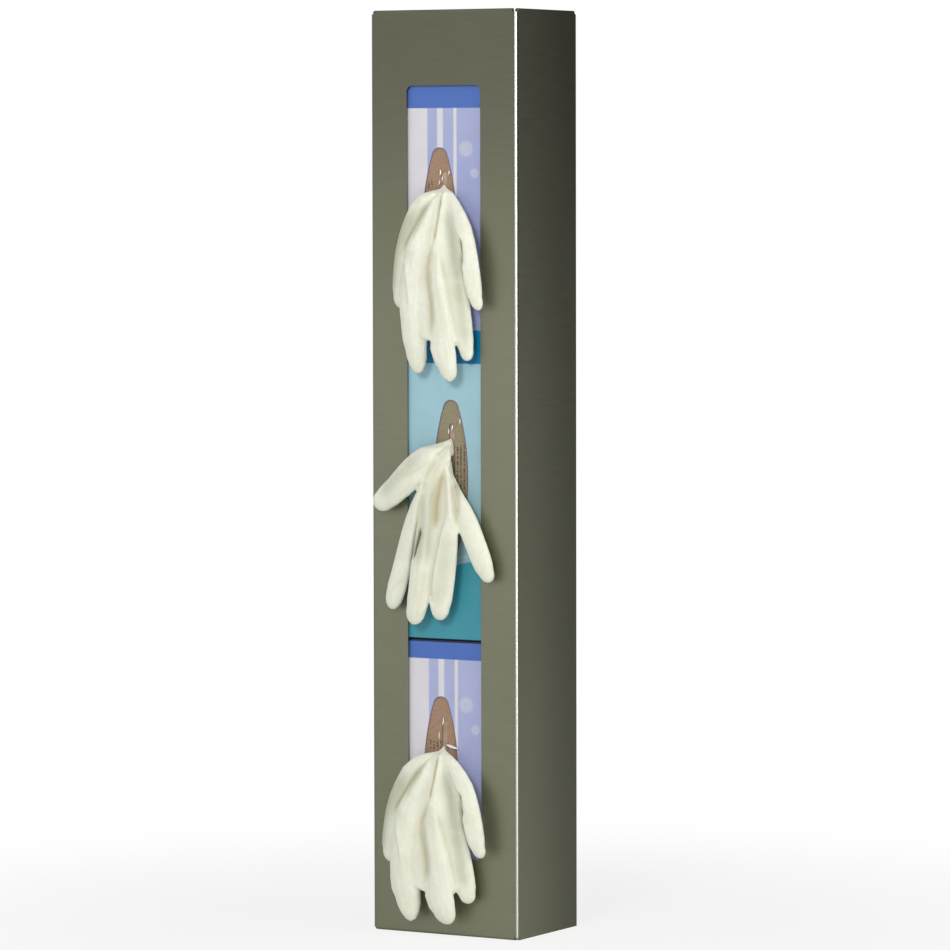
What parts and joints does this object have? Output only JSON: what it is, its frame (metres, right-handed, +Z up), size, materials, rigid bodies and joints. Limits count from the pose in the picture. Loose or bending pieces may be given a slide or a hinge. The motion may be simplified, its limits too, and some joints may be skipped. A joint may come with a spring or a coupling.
{
  "type": "disposable glove dispenser",
  "caption": "Upright folded steel housing with an open top and a tall front window, holding stacked glove cartons with a glove hanging from each outlet.",
  "frame": {"origin": "middle of the housing's footprint, on the surface that it stands on", "axes": "+X to the right seen from the front, +Y to the back (the wall side), +Z up"},
  "size_m": [0.138, 0.1264, 0.762],
  "materials": {
    "stainless_sheet": "fine horizontal brushing",
    "stainless_plate": "fine horizontal brushing",
    "board_lilac": "satin printed board, pale and lavender stripes",
    "board_teal": "satin printed board, light blue over teal",
    "liner_tan": "matte card",
    "liner_taupe": "matte card",
    "packed_gloves": "satin",
    "glove_latex": "satin"
  },
  "bodies": {
    "root": {"housing": "stainless_sheet", "back_plate": "stainless_plate", "carton_lower": "board_lilac", "carton_middle": "board_teal", "carton_upper": "board_lilac", "outlet_liner_lower": "liner_tan", "outlet_liner_middle": "liner_taupe", "outlet_liner_upper": "liner_tan", "glove_pack_lower": "packed_gloves", "glove_pack_middle": "packed_gloves", "glove_pack_upper": "packed_gloves", "glove_lower": "glove_latex", "glove_middle": "glove_latex", "glove_upper": "glove_latex"}
  },
  "joints": []
}
